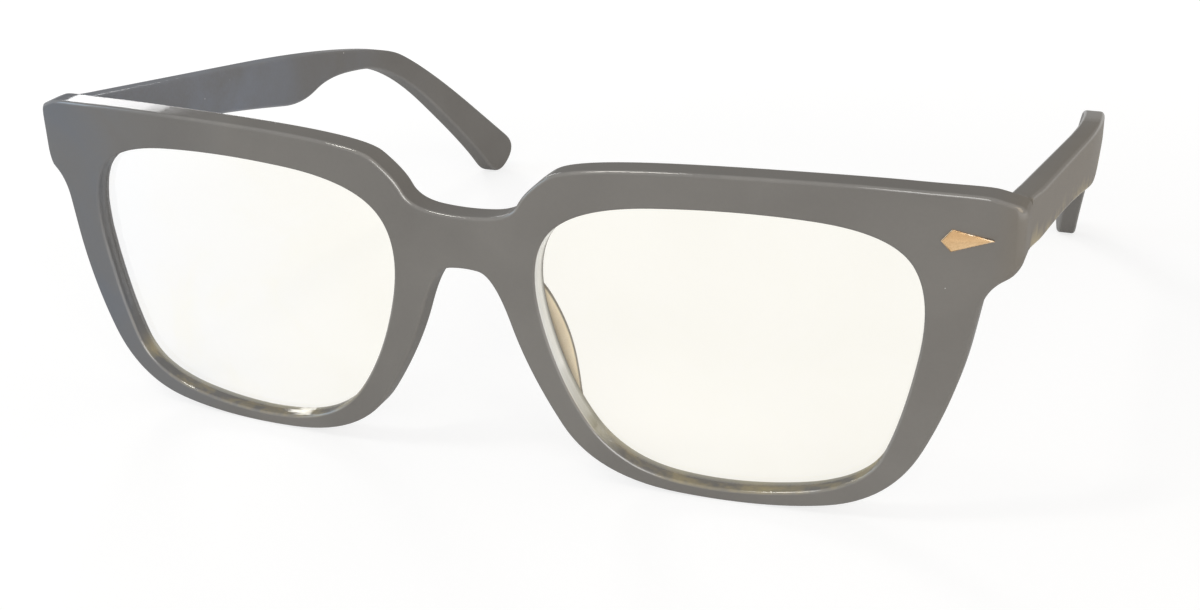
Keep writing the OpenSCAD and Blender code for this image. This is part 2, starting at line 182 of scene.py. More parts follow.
def inside(p, loop):
    hit = False
    for a, b in zip(loop, loop[1:] + loop[:1]):
        if (a.y > p.y) != (b.y > p.y) and p.x < (b.x - a.x) * (p.y - a.y) / (b.y - a.y) + a.x:
            hit = not hit
    return hit


def filled(loops, spacing):
    # triangles between the first loop and the others, with a grid of points inside
    points = [p for loop in loops for p in loop]
    edges, start = [], 0
    for loop in loops:
        edges += [(start + i, start + (i + 1) % len(loop)) for i in range(len(loop))]
        start += len(loop)
    xs, ys = [p.x for p in loops[0]], [p.y for p in loops[0]]
    coarse = [loop[::2] for loop in loops]
    grid, row = [], 0
    y = min(ys) + spacing / 2
    while y < max(ys):
        x = min(xs) + spacing * (0.5 if row % 2 else 1)
        while x < max(xs):
            p = Vector((x, y))
            if inside(p, coarse[0]) and not any(inside(p, loop) for loop in coarse[1:]):
                near = min((p - q).length_squared for loop in coarse for q in loop)
                if near > (0.7 * spacing) ** 2:
                    grid.append(p)
            x += spacing
        y += spacing * 0.87
        row += 1
    found = delaunay_2d_cdt(points + grid, edges, [], 0, 1e-5)
    verts, tris, origin = found[0], found[2], found[3]
    extra = [v for v, o in zip(verts, origin) if not o]
    if extra:
        print("  outline crosses itself at", len(extra), "points")
    place, spare = [], len(points) + len(grid)
    for o in origin:
        place.append(o[0] if o else spare)
        spare += 0 if o else 1
    keep = []
    for t in tris:
        mid = sum((verts[i] for i in t), Vector((0, 0))) / len(t)
        if inside(mid, loops[0]) and not any(inside(mid, loop) for loop in loops[1:]):
            keep.append([place[i] for i in t])
    return points + grid + [Vector(v) for v in extra], keep


def addObject(name, data):
    obj = bpy.data.objects.new(name, data)
    bpy.context.scene.collection.objects.link(obj)
    return obj


def meshObject(name, verts, faces, normals=None):
    mesh = bpy.data.meshes.new(name)
    mesh.from_pydata([toWorld @ Vector(v) for v in verts], [], faces)
    mesh.validate()
    mesh.update()
    for poly in mesh.polygons:
        poly.use_smooth = True
    if normals:
        mesh.normals_split_custom_set_from_vertices([turnOnly @ n for n in normals])
    return addObject(name, mesh)


def tag(piece, name, values):
    # a soft mask over the piece's points, from 0 to 1, that its material reads
    piece.data.attributes.new(name, "FLOAT", "POINT").data.foreach_set("value", values)


def plate(name, loops, thick, place, edge, spacing, masks, flip=False, steps=5, rearRing=1.0):
    # A plate with rounded edges: place(p, depth, n) gives a point and its two normals, where n
    # points outward from the outline. A mask's lean runs from 0 on the face to 1 on the wall.
    verts, normals, faces = [], [], []
    shades = {mask: [] for mask in masks}

    def add(p, depth, n, lean, back, hole=False):
        at, face, wall = place(p, depth, n)
        verts.append(at)
        facing, angle = -face if back else face, lean * math.pi / 2
        normals.append((facing * math.cos(angle) + wall * math.sin(angle)).normalized())
        for mask, rule in masks.items():
            shades[mask].append(clamped(rule(p, n, lean, back, hole)))
        return len(verts) - 1

    rings = []
    insets = {False: [], True: []}
    for k, loop in enumerate(loops):
        out = sideways(loop) if k == 0 else [-n for n in sideways(loop)]
        stack = []
        for back in (False, True):
            radii = [edge(p, n, back, k > 0) for p, n in zip(loop, out)]
            layers = []
            for s in range(steps + 1):
                lean = s / steps
                inset, fall = 1 - math.sin(lean * math.pi / 2), 1 - math.cos(lean * math.pi / 2)
                layer = []
                for p, n, r in zip(loop, out, radii):
                    depth = thick - r * fall if back else r * fall
                    layer.append(add(p - n * r * inset, depth, n, lean, back, k > 0))
                layers.append(layer)
            if k > 0 and not back:
                # one more ring ends the front's masks before the back of a hole's wall
                layers.append([add(p, thick - edge(p, n, True, True) - rearRing, n, 1, back, True)
                               for p, n in zip(loop, out)])
            insets[back].append([p - n * r for p, n, r in zip(loop, out, radii)])
            stack += layers[::-1] if back else layers
        rings.append(stack)
        for a, b in zip(stack, stack[1:]):
            for i in range(len(loop)):
                j = (i + 1) % len(loop)
                faces.append((a[i], a[j], b[j], b[i]) if (k == 0) else (a[j], a[i], b[i], b[j]))
    for back in (False, True):
        flat, tris = filled(insets[back], spacing)
        edgeCount = sum(len(loop) for loop in loops)
        index = [i for stack in rings for i in (stack[-1] if back else stack[0])]
        for p in flat[edgeCount:]:
            index.append(add(p, thick if back else 0, Vector((1, 0)), 0, back))
        for t in tris:
            a, b, c = (index[i] for i in t)
            faces.append((a, c, b) if back else (a, b, c))
    if flip:
        faces = [f[::-1] for f in faces]
    piece = meshObject(name, verts, faces, normals)
    for mask, values in shades.items():
        tag(piece, mask, values)
    return piece


def roundEdge(p, n, lean, back, hole):
    # a rounded edge shines most where it looks up, and less behind; its lighter colour there is
    # part wear, part painted highlight
    return math.sin(math.pi * lean) * max(0.15, min(1, (n.y + 0.1) / 0.4)) * (0.4 if back else 1)


def templeEdge(p, n, lean, back, hole):
    return 0.3 * math.sin(math.pi * lean)


# The front
def onFront(p, depth, n):
    return Vector((p.x, swept(p.x, depth), p.y)), faceNormal(p.x), Vector((n.x, 0, n.y))


def frontEdge(p, n, back, hole):
    if hole:
        return front["holeEdge"]
    # the endpieces' sides are rounder in front and nearly sharp where the temples meet them
    side = clamped((abs(p.x) - halfWide + front["cornerRun"]) / front["cornerRun"])
    side *= clamped((p.y - endLow + front["cornerLow"]) / front["cornerFade"])
    base = front["backEdge"] if back else front["edge"]
    return base + ((front["buttEdge"] if back else front["cornerEdge"]) - base) * side


def paintedNasalGlare(p, n, lean, back, hole):
    # painted highlight: the walls towards the nose, painted near white as a bright reflection
    if not hole or back or lean < 0.8:
        return 0
    return (n.x * math.copysign(1, p.x) - 0.55) / 0.25


def lowWall(p, n, lean, back, hole):
    # the walls of the openings that look up, which get painted warm light
    return (n.y - 0.35) / 0.3 * lean if hole else 0


def rearLight(p, n, lean, back, hole):
    # light that comes in behind the lens
    return lowWall(p, n, lean, back, hole) if back else 0


leftOpening = [Vector((-p.x, p.y)) for p in opening][::-1]
frontLoops = [evenly(loop, front["step"]) for loop in (frontOutline, opening, leftOpening)]
frontPiece = plate("front_acetate", frontLoops, front["thick"], onFront, frontEdge, front["grid"],
                   {"edge": roundEdge, "glow": paintedNasalGlare, "low": lowWall, "rear": rearLight})
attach(frontPiece, "frame_front")
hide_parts("front")
print("front built,", len(frontPiece.data.vertices), "points")

# The temples
temple = {"thick": 3.4, "high": 7, "run": 104, "hook": 48.5, "drop": 10.2, "hookDrop": 31,
          "stepAt": 0.66, "stepDeep": 9.3, "neck": 5, "tipHigh": 9.4, "tipIn": 9, "leanOut": 2.3,
          "edge": 0.55, "rootEdge": 0.03, "buttGap": 0.01, "buttRun": 8, "flush": 0.22,
          "flushRun": 10, "edgeRun": 1.5, "litRun": 100, "rootOut": 0.05, "rootDown": 0.1,
          "step": 0.55, "grid": 1.8}
rootX = halfWide + temple["rootOut"]
rootY = swept(rootX - temple["thick"] / 2, front["thick"])
rootTop = endTop - temple["rootDown"]
drop, fall = math.radians(temple["drop"]), math.radians(temple["drop"] + temple["hookDrop"])


def along(run, up):
    # a point of the temple's side view, by its distance from the root and its height
    return Vector((rootY + run * math.cos(drop) + up * math.sin(drop),
                   rootTop - run * math.sin(drop) + up * math.cos(drop)))


def downHook(run, up):
    # the same for the part behind the bend
    return along(temple["run"], 0) + Vector((run * math.cos(fall) + up * math.sin(fall),
                                             -run * math.sin(fall) + up * math.cos(fall)))


run, hook, neck, tipHigh = (temple[part] for part in ("run", "hook", "neck", "tipHigh"))
stepRun = temple["stepAt"] * run
templeOutline = outline([
    (rootY, rootTop, 0.3),
    (*along(0.9 * run, 0), 0.4 * run),
    (*downHook(0.17 * hook, -0.3 * neck), 0.46 * hook),
    (*downHook(1.02 * hook, -0.3 * neck), 0.55 * tipHigh),
    (*downHook(0.98 * hook, -0.3 * neck - tipHigh), 0.55 * tipHigh),
    (*downHook(0.71 * hook, -0.3 * neck - 0.73 * tipHigh), 0.3 * hook),
    (*downHook(-0.02 * hook, -1.2 * neck), 0.46 * hook),
    (*along(stepRun + 0.09 * run, -neck), 0.08 * run),
    (*along(stepRun, -temple["stepDeep"]), 0.06 * run),
    (*along(0.55 * stepRun, -temple["high"]), 0.2 * run),
    (rootY, rootTop - temple["high"] / math.cos(drop), 0.3)])
planBend = along(run, 0).x - 0.18 * run
tipEnd = max(p.x for p in templeOutline)
templePlan = openPath([(rootX, rootY - 6, 0), (rootX + temple["leanOut"], planBend, 0.31 * run),
                       (rootX + temple["leanOut"] - temple["tipIn"] * 1.15, tipEnd + 1, 0)], 24)


def planX(y):
    # the outer side of the temple, seen from above
    for a, b in zip(templePlan, templePlan[1:]):
        if y <= b.y:
            return a.x + (b.x - a.x) * (y - a.y) / (b.y - a.y)
    return templePlan[-1].x


def makeTemple(side):
    # The root is flush with the endpiece's side and follows the curve of its back
    def place(p, depth, n):
        slope = planX(p.x + 0.5) - planX(p.x - 0.5)
        flush = temple["flush"] * clamped((rootY + temple["flushRun"] - p.x) / temple["flushRun"])
        x = planX(p.x) - flush - depth * math.sqrt(1 + slope * slope)
        butt = swept(x, front["thick"] + temple["buttGap"]) - rootY
        y = p.x + butt * clamped((rootY + temple["buttRun"] - p.x) / temple["buttRun"])
        face = Vector((side, -slope, 0)).normalized()
        return Vector((side * x, y, p.y)), face, Vector((0, n.x, n.y))

    def low(p, n, lean, back, hole):
        # the warm light on the right temple's lower edge, short of the bend
        return (-n.y - 0.2) * 1.5 if side > 0 and p.x < temple["litRun"] else 0

    def edge(p, n, back, hole):
        near = clamped((rootY + temple["edgeRun"] - p.x) / temple["edgeRun"]) * max(0, -n.x)
        return temple["edge"] + (temple["rootEdge"] - temple["edge"]) * near

    loop = evenly(templeOutline, temple["step"])
    name = "temple_right" if side > 0 else "temple_left"
    piece = plate(name + "_acetate", [loop], temple["thick"], place, edge, temple["grid"],
                  {"edge": templeEdge, "low": low}, flip=side < 0)
    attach(piece, "temple_arm_right" if side > 0 else "temple_arm_left")
    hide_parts(name)
    return piece


temples = [makeTemple(side) for side in (-1, 1)]
print("temples built")

# The lenses
lens = {"thick": 1.8, "seat": 0.35, "bulge": 0.4, "bulgeWide": 27, "bulgeHigh": 21,
        "step": 0.9, "grid": 2.2}


def makeLens(side):
    loop = evenly(opening, lens["step"])
    out = sideways(loop)
    rim = [p + n * lens["seat"] for p, n in zip(loop, out)]
    flat, tris = filled([rim], lens["grid"])
    edgeDepth = (front["thick"] - lens["thick"]) / 2

    def at(p, back):
        far = min(1, ((p.x - lensX) / lens["bulgeWide"]) ** 2 + (p.y / lens["bulgeHigh"]) ** 2)
        depth = edgeDepth + (lens["thick"] if back else 0) - lens["bulge"] * (1 - far)
        return Vector((p.x, swept(p.x, depth), p.y))

    verts, normals, faces = [], [], []
    stepX, stepZ = Vector((0.2, 0)), Vector((0, 0.2))
    for back in (False, True):
        for p in flat:
            dx = at(p + stepX, back) - at(p - stepX, back)
            dz = at(p + stepZ, back) - at(p - stepZ, back)
            n = dx.cross(dz).normalized()
            verts.append(at(p, back))
            normals.append(-n if back else n)
    count = len(flat)
    for a, b, c in tris:
        faces += [(a, b, c), (a + count, c + count, b + count)]
    first = len(verts)
    for p, n in zip(rim, out):
        for back in (False, True):
            verts.append(at(p, back))
            normals.append(Vector((n.x, 0, n.y)))
    for i in range(len(rim)):
        j = (i + 1) % len(rim)
        a, b = first + 2 * i, first + 2 * j
        faces.append((a, b, b + 1, a + 1))
    if side < 0:
        verts = [Vector((-v.x, v.y, v.z)) for v in verts]
        normals = [Vector((-n.x, n.y, n.z)) for n in normals]
        faces = [f[::-1] for f in faces]
    name = "lens_right" if side > 0 else "lens_left"
    piece = meshObject(name + "_clear", verts, faces, normals)
    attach(piece, "frame_front")
    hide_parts(name)
    return piece


lenses = [makeLens(side) for side in (-1, 1)]
print("lenses built")

# The nose pads, bonded behind the rims
pad = {"long": 21.4, "deep": 2.9, "thick": 2.4, "splay": 20, "turn": 18.3, "edge": 1.05,
       "baseEdge": 0.2, "edgeRun": 1.6, "glue": 0.04, "tuck": 0.6, "step": 0.4, "grid": 1.2}


def makePad(side):
    half, deep = pad["long"] / 2, pad["deep"]
    loop = evenly(outline([
        (-half, -deep / 2, 0), (-half, deep / 10, deep / 10), (-0.64 * half, 0.66 * deep, half / 2),
        (0, 1.15 * deep, whole), (0.68 * half, 0.8 * deep, half / 2),
        (half, deep / 10, deep / 10), (half, -deep / 2, 0)]), pad["step"])
    mid = onLens(-0.84, -0.13) - Vector((front["rimNasal"] * 0.5, 0))
    turn = (Matrix.Rotation(-math.radians(pad["turn"]), 3, "Y")
            @ Matrix.Rotation(-math.radians(pad["splay"]), 3, "Z"))
    base = Vector((mid.x, swept(mid.x, front["thick"]), mid.y))

    def lowEnd(p):
        # from 0 to 1 over the last fifth of the pad
        return (-p.x / half - 0.6) / 0.4

    # The nose's side draws in toward the lower end, so that the rim hides it
    def place(p, depth, n):
        depth += pad["tuck"] * clamped(lowEnd(p)) * (1 - depth / pad["thick"])
        at = base + turn @ Vector((depth - pad["thick"] / 2, p.y, p.x))
        at.y = max(at.y, swept(at.x, front["thick"] + pad["glue"]))
        face, wall = turn @ Vector((-1, 0, 0)), turn @ Vector((0, n.y, n.x))
        flat = Vector((side, 1, 1))
        return at * flat, face * flat, wall * flat

    def edge(p, n, back, hole):
        return pad["baseEdge"] + (pad["edge"] - pad["baseEdge"]) * clamped(p.y / pad["edgeRun"])

    def crest(p, n, lean, back, hole):
        # painted shade: a dark line along the free edge, on the side towards the lens
        return max(0, n.y) * 6 * lean if back else 0

    def root(p, n, lean, back, hole):
        # the part in the rim's shade
        return max(1 - p.y / (0.5 * deep), lowEnd(p))

    name = "nose_pad_right" if side > 0 else "nose_pad_left"
    piece = plate(name + "_soft", [loop], pad["thick"], place, edge, pad["grid"],
                  {"crest": crest, "root": root}, flip=side < 0, steps=6)
    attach(piece, "frame_front")
    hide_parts(name)
    return piece


pads = [makePad(side) for side in (-1, 1)]
print("nose pads built")

# The arrowhead rivet: a bevelled rim, four facets, a post and a domed peen behind the endpiece
rivet = {"x": 63.25, "z": 18.3, "long": 6.4, "high": 2.9, "sunk": 0.16, "proud": 0.16,
         "crown": 0.42, "bevel": 0.13, "rise": 0.1, "post": 0.6, "peen": 0.9, "peenHigh": 0.35,
         "gap": 0.04, "sides": 32}
rivetAt = Vector((rivet["x"], swept(rivet["x"], 0), rivet["z"]))


def makeRivet():
    l, h, w = rivet["long"], rivet["high"], rivet["bevel"]
    kite = [(-0.2 * l, 0), (0, h / 2), (0.8 * l, 0), (0, -h / 2)]
    inner = [(-0.2 * l + 1.5 * w, 0), (0, h / 2 - 1.1 * w), (0.8 * l - 4 * w, 0),
             (0, -h / 2 + 1.1 * w)]
    rimY = -rivet["proud"]
    rings = ((rivet["sunk"], kite), (rimY, kite), (rimY - rivet["rise"], inner))
    verts = [Vector((x, y, z)) for y, ring in rings for x, z in ring]
    verts.append(Vector((0, -rivet["crown"], 0)))
    faces = [(0, 3, 2, 1)]
    for i in range(4):
        j = (i + 1) % 4
        faces += [(i, j, j + 4, i + 4), (i + 4, j + 4, j + 8, i + 8), (i + 8, j + 8, 12)]
    post, peen, top, sides = rivet["post"], rivet["peen"], rivet["peenHigh"], rivet["sides"]
    back = front["thick"] + rivet["gap"]
    profile = [(post, rivet["sunk"]), (post, back), (peen, back), (peen, back + 0.12),
               (peen * 0.88, back + 0.24), (peen * 0.6, back + top - 0.03)]
    first = len(verts)
    for r, y in profile:
        for k in range(sides):
            a = 2 * math.pi * k / sides
            verts.append(Vector((r * math.cos(a), y, r * math.sin(a))))
    verts.append(Vector((0, back + top, 0)))
    for ring in range(len(profile) - 1):
        for k in range(sides):
            m = (k + 1) % sides
            a, b = first + ring * sides, first + (ring + 1) * sides
            faces.append((a + m, a + k, b + k, b + m))
    last = first + (len(profile) - 1) * sides
    faces += [(last + (k + 1) % sides, last + k, len(verts) - 1) for k in range(sides)]
    slope = math.asin((rivet["x"] - wrapMid[0]) / front["wrap"])
    put = Matrix.Translation(rivetAt) @ Matrix.Rotation(slope, 4, "Z")
    piece = meshObject("arrowhead_rivet_gold", [put @ v for v in verts], faces)
    for poly in piece.data.polygons:
        poly.use_smooth = min(poly.vertices) >= first
    tag(piece, "edge", [1 if 4 <= i < 8 else 0 for i in range(len(verts))])
    return piece


rivetPiece = makeRivet()
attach(rivetPiece, "frame_front")
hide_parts("arrowhead_rivet")
print("rivet built")

# The hinges: the same metal pieces with their edges broken, as they leave the tumbling drum
hinges = {"edge": 0.09, "screwEdge": 0.07, "sharpFrom": 40, "smoothTo": 35}


def brokenEdges(node, width, body):
    source = frame["nodes"][node]
    bm = bmesh.new()
    bm.from_mesh(source.data)
    bmesh.ops.remove_doubles(bm, verts=bm.verts, dist=2e-6)
    bmesh.ops.dissolve_limit(bm, angle_limit=math.radians(1), verts=bm.verts, edges=bm.edges)
    limit = math.radians(hinges["sharpFrom"])
    sharp = [e for e in bm.edges if len(e.link_faces) == 2 and e.calc_face_angle() > limit]
    bmesh.ops.bevel(bm, geom=sharp, offset=width / 1000, segments=2, profile=0.5,
                    affect="EDGES", clamp_overlap=True)
    mesh = bpy.data.meshes.new(node + "_worked")
    bm.to_mesh(mesh)
    bm.free()
    piece = addObject(node + "_worked", mesh)
    for poly in mesh.polygons:
        poly.use_smooth = True
    mesh.set_sharp_from_angle(angle=math.radians(hinges["smoothTo"]))
    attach(piece, body)
    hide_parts(node)
    return piece


metalPieces = []
for end in ("left", "right"):
    metalPieces.append(brokenEdges("front_hinge_leaf_" + end, hinges["edge"], "frame_front"))
    metalPieces.append(brokenEdges("temple_hinge_leaf_" + end, hinges["edge"], "temple_arm_" + end))
    metalPieces.append(brokenEdges("hinge_screw_" + end, hinges["screwEdge"], "frame_front"))
print("hinges built")

# Lights, camera and stage, in metres
view = {"place": (0.09477, -0.26918, 0.1013), "turn": 21.15, "tilt": 19.65, "roll": 0.31,
        "lens": 51.46}
cameraData = bpy.data.cameras.new("camera")
cameraData.lens = view["lens"]
cameraData.clip_start = 0.01
camera = addObject("camera", cameraData)
camera.matrix_world = (Matrix.Translation(view["place"])
                       @ Matrix.Rotation(math.radians(view["turn"]), 4, "Z")
                       @ Matrix.Rotation(math.radians(90 - view["tilt"]), 4, "X")
                       @ Matrix.Rotation(math.radians(view["roll"]), 4, "Z"))
bpy.context.scene.camera = camera

reach = 9
floorCorners = [(-reach, -reach, 0), (reach, -reach, 0), (reach, reach, 0), (-reach, reach, 0)]
floorMesh = bpy.data.meshes.new("floor")
floorMesh.from_pydata(floorCorners, [], [(0, 1, 2, 3)])
floor = addObject("floor", floorMesh)

# Area lights that point at lampAim. backEdge makes the white reflection on the left endpiece.
lampAim = Vector((0, -0.06, 0.03))
lamps = {
    "front": {"from": (0.45, -1.0, 0.45), "size": (0.8, 0.6), "power": 5.6,
              "color": (1, 0.99, 0.97)},
    "overhead": {"from": (-0.23, -0.33, 0.64), "size": (0.052, 0.24), "power": 0.6,
                 "color": (1, 0.97, 0.9)},
    "coolSide": {"from": (-0.8, -0.35, 0.3), "size": (0.4, 0.4), "power": 0.9,
                 "color": (0.55, 0.78, 1)},
    "warmSide": {"from": (0.9, -0.1, 0.3), "size": (0.5, 0.4), "power": 0.8,
                 "color": (1, 0.8, 0.55)},
    "backEdge": {"from": (-0.655, 0.705, 0.339), "size": (0.27, 0.148), "power": 1.75,
                 "color": (1, 1, 1)}}
for name, lamp in lamps.items():
    data = bpy.data.lights.new(name, "AREA")
    data.shape = "RECTANGLE"
    data.size, data.size_y = lamp["size"]
    data.energy = lamp["power"]
    data.color = lamp["color"]
    lampObject = addObject(name, data)
    lampObject.location = lamp["from"]
    aim = lampAim - Vector(lamp["from"])
    lampObject.rotation_euler = aim.to_track_quat("-Z", "Y").to_euler()
bpy.context.scene.view_settings.view_transform = "Standard"
print("lights and camera placed")


# Small helpers for the materials
def addNode(tree, kind, **settings):
    node = tree.nodes.new("ShaderNode" + kind)
    for key, value in settings.items():
        setattr(node, key, value)
    return node


def plug(tree, source, socket):
    if isinstance(source, bpy.types.NodeSocket):
        tree.links.new(source, socket)
    else:
        socket.default_value = source


def calc(tree, operation, a, b=0.0, clamp=False):
    node = addNode(tree, "Math", operation=operation, use_clamp=clamp)
    plug(tree, a, node.inputs[0])
    plug(tree, b, node.inputs[1])
    return node.outputs[0]


def times(tree, a, b):
    return calc(tree, "MULTIPLY", a, b)


def remap(tree, value, low, high, toLow=0.0, toHigh=1.0):
    node = addNode(tree, "MapRange")
    for source, socket in zip((value, low, high, toLow, toHigh), node.inputs):
        plug(tree, source, socket)
    return node.outputs[0]


def mixColor(tree, factor, a, b):
    node = addNode(tree, "Mix", data_type="RGBA")
    plug(tree, factor, node.inputs[0])
    for source, socket in ((a, node.inputs[6]), (b, node.inputs[7])):
        plug(tree, source if isinstance(source, bpy.types.NodeSocket) else (*source, 1), socket)
    return node.outputs[2]


def scaled(tree, vector, size, stretch=(1, 1, 1), turn=0.0):
    # pattern space: size is the pattern's size in millimetres
    turned = addNode(tree, "VectorRotate", rotation_type="AXIS_ANGLE")
    plug(tree, vector, turned.inputs["Vector"])
    turned.inputs["Axis"].default_value = (0.3, 0.9, 0.3)
    turned.inputs["Angle"].default_value = turn
    stretched = addNode(tree, "VectorMath", operation="MULTIPLY")
    tree.links.new(turned.outputs[0], stretched.inputs[0])
    stretched.inputs[1].default_value = stretch
    divided = addNode(tree, "VectorMath", operation="SCALE")
    tree.links.new(stretched.outputs[0], divided.inputs[0])
    plug(tree, calc(tree, "DIVIDE", 1000.0, size), divided.inputs["Scale"])
    return divided.outputs[0]


def noise(tree, vector, detail=2.0, rough=0.5, distortion=0.0):
    node = addNode(tree, "TexNoise")
    tree.links.new(vector, node.inputs["Vector"])
    node.inputs["Scale"].default_value = 1
    node.inputs["Detail"].default_value = detail
    node.inputs["Roughness"].default_value = rough
    node.inputs["Distortion"].default_value = distortion
    return node.outputs["Fac"]


def newGroup(name, ins, outs):
    tree = bpy.data.node_groups.new(name, "ShaderNodeTree")
    for label, (kind, value) in ins.items():
        socket = tree.interface.new_socket(label, in_out="INPUT", socket_type="NodeSocket" + kind)
        if value is not None:
            socket.default_value = value
    for label, kind in outs.items():
        tree.interface.new_socket(label, in_out="OUTPUT", socket_type="NodeSocket" + kind)
    return tree, tree.nodes.new("NodeGroupInput").outputs, tree.nodes.new("NodeGroupOutput").inputs


def buildHandlingMarks():
    # hairline scratches and finger smudges
    tree, given, out = newGroup("handlingMarks", {
        "Vector": ("Vector", None), "Scratch Size": ("Float", 6.0),
        "Scratch Amount": ("Float", 0.5), "Smudge Size": ("Float", 12.0),
        "Smudge Amount": ("Float", 0.5)}, {"Scratches": "Float", "Smudges": "Float"})
    total = None
    for turn, stretch in ((0.4, (0.12, 1, 1)), (1.3, (1, 1, 0.1)), (2.2, (0.2, 0.7, 1))):
        space = scaled(tree, given["Vector"], given["Scratch Size"], stretch, turn)
        cells = addNode(tree, "TexVoronoi", feature="DISTANCE_TO_EDGE")
        tree.links.new(space, cells.inputs["Vector"])
        cells.inputs["Scale"].default_value = 1
        line = remap(tree, cells.outputs["Distance"], 0.0, 0.012, 1.0, 0.0)
        broken = times(tree, line, remap(tree, noise(tree, space, 3), 0.52, 0.66))
        total = broken if total is None else calc(tree, "MAXIMUM", total, broken)
    tree.links.new(times(tree, total, given["Scratch Amount"]), out["Scratches"])
    space = scaled(tree, given["Vector"], given["Smudge Size"], (1, 1, 1), 0.7)
    smear = remap(tree, noise(tree, space, 4, 0.6, 0.8), 0.45, 0.72)
    tree.links.new(times(tree, smear, given["Smudge Amount"]), out["Smudges"])
    return tree


def buildTonalDrift():
    # slow clouding between two tones, with a fine grain over it
    tree, given, out = newGroup("tonalDrift", {
        "Vector": ("Vector", None), "Size": ("Float", 20.0), "Dark": ("Color", (0, 0, 0, 1)),
        "Light": ("Color", (1, 1, 1, 1)), "Grain Size": ("Float", 0.3), "Grain": ("Float", 0.1)},
        {"Color": "Color", "Drift": "Float"})
    slow = noise(tree, scaled(tree, given["Vector"], given["Size"]), 3, 0.55, 0.6)
    cloud = remap(tree, slow, 0.3, 0.7)
    fine = noise(tree, scaled(tree, given["Vector"], given["Grain Size"]), 2)
    grain = remap(tree, fine, 0.3, 0.7, -0.5, 0.5)
    drift = calc(tree, "ADD", cloud, times(tree, grain, given["Grain"]), clamp=True)
    tree.links.new(mixColor(tree, drift, given["Dark"], given["Light"]), out["Color"])
    tree.links.new(drift, out["Drift"])
    return tree


def buildEdgePatches():
    # patches along a mask, for rubbed wear on edges and for painted light on walls
    tree, given, out = newGroup("edgePatches", {
        "Vector": ("Vector", None), "Edge": ("Float", 0.0), "Size": ("Float", 4.0),
        "Amount": ("Float", 0.5)}, {"Patches": "Float"})
    blotch = noise(tree, scaled(tree, given["Vector"], given["Size"]), 4, 0.65)
    patch = remap(tree, blotch, 0.42, 0.64)
    tree.links.new(times(tree, times(tree, patch, given["Edge"]), given["Amount"]), out["Patches"])
    return tree


def buildBrushLines():
    # the fine parallel lines of a polishing wheel
    tree, given, out = newGroup("brushLines", {"Vector": ("Vector", None), "Size": ("Float", 0.3)},
                                {"Lines": "Float"})
    lines = noise(tree, scaled(tree, given["Vector"], given["Size"], (0.05, 1, 1)), 3, 0.7)
    tree.links.new(remap(tree, lines, 0.3, 0.7), out["Lines"])
    return tree


def buildDustSpecks():
    # a few pale specks of dust
    tree, given, out = newGroup("dustSpecks", {
        "Vector": ("Vector", None), "Spacing": ("Float", 2.5), "Amount": ("Float", 0.5)},
        {"Specks": "Float"})
    space = scaled(tree, given["Vector"], given["Spacing"])
    cells = addNode(tree, "TexVoronoi", feature="F1")
    tree.links.new(space, cells.inputs["Vector"])
    cells.inputs["Scale"].default_value = 1
    split = addNode(tree, "SeparateColor")
    tree.links.new(cells.outputs["Color"], split.inputs[0])
    size = remap(tree, split.outputs[0], 0.75, 1.0, 0.0, 0.05)
    speck = calc(tree, "LESS_THAN", cells.outputs["Distance"], size)
    tree.links.new(times(tree, speck, given["Amount"]), out["Specks"])
    return tree


groups = {"handlingMarks": buildHandlingMarks(), "tonalDrift": buildTonalDrift(),
          "edgePatches": buildEdgePatches(), "brushLines": buildBrushLines(),
          "dustSpecks": buildDustSpecks()}
print("shared effects built")


def newMaterial(name, **plain):
    # a material with plain numbers on its shader, and its object coordinates
    mat = bpy.data.materials.new(name)
    mat.use_nodes = True
    tree = mat.node_tree
    shader = tree.nodes["Principled BSDF"]
    for label, value in plain.items():
        shader.inputs[label.replace("_", " ")].default_value = value
    coordinates = addNode(tree, "TexCoord").outputs["Object"]
    return mat, tree, shader.inputs, coordinates


def axisOf(tree, vector, axis):
    node = addNode(tree, "SeparateXYZ")
    tree.links.new(vector, node.inputs[0])
    return node.outputs[axis]


def effect(tree, name, vector, **values):
    node = addNode(tree, "Group", node_tree=groups[name])
    tree.links.new(vector, node.inputs["Vector"])
    for label, value in values.items():
        if isinstance(value, tuple):
            value = (*value, 1)
        plug(tree, value, node.inputs[label.replace("_", " ")])
    return node.outputs


def mask(tree, name):
    # a mask that tag() has put on the piece's points
    return addNode(tree, "Attribute", attribute_name=name).outputs["Fac"]


def summed(tree, start, *terms):
    # start plus each value times its share
    total = start
    for value, share in terms:
        total = calc(tree, "ADD", total, times(tree, value, share))
    return total


def setBump(tree, inputs, height, strength, distance):
    node = addNode(tree, "Bump")
    node.inputs["Strength"].default_value = strength
    node.inputs["Distance"].default_value = distance
    tree.links.new(height, node.inputs["Height"])
    tree.links.new(node.outputs["Normal"], inputs["Normal"])


# A range in a look is two places along an axis, in metres, between which a tint comes or goes.
# The cool tints and the warm tint are painted light: the left side as under a cool lamp, the right
# side as under a warm one.
acetateLook = {"dark": (0.176, 0.166, 0.153), "light": (0.21, 0.199, 0.183),
               "wornAndHighlit": (0.32, 0.3, 0.27), "dust": (0.6, 0.6, 0.58),
               "paintedCool": (0.152, 0.165, 0.19), "coolX": (-0.035, -0.068), "coolY": (-0.04, 0.05),
               "paintedCoolInside": (0.25, 0.275, 0.33), "insideIn": (-0.062, -0.052),
               "insideOut": (-0.02, 0.03), "paintedWarm": (0.2, 0.17, 0.128), "warmX": (0.068, 0.073),
               "paintedAmber": (0.39, 0.33, 0.2), "cream": (0.56, 0.54, 0.45), "creamShare": 0.6,
               "glow": (0.92, 0.92, 0.88), "glowLow": (0.46, 0.43, 0.32),
               "rough": 0.1, "gloss": 0.2}


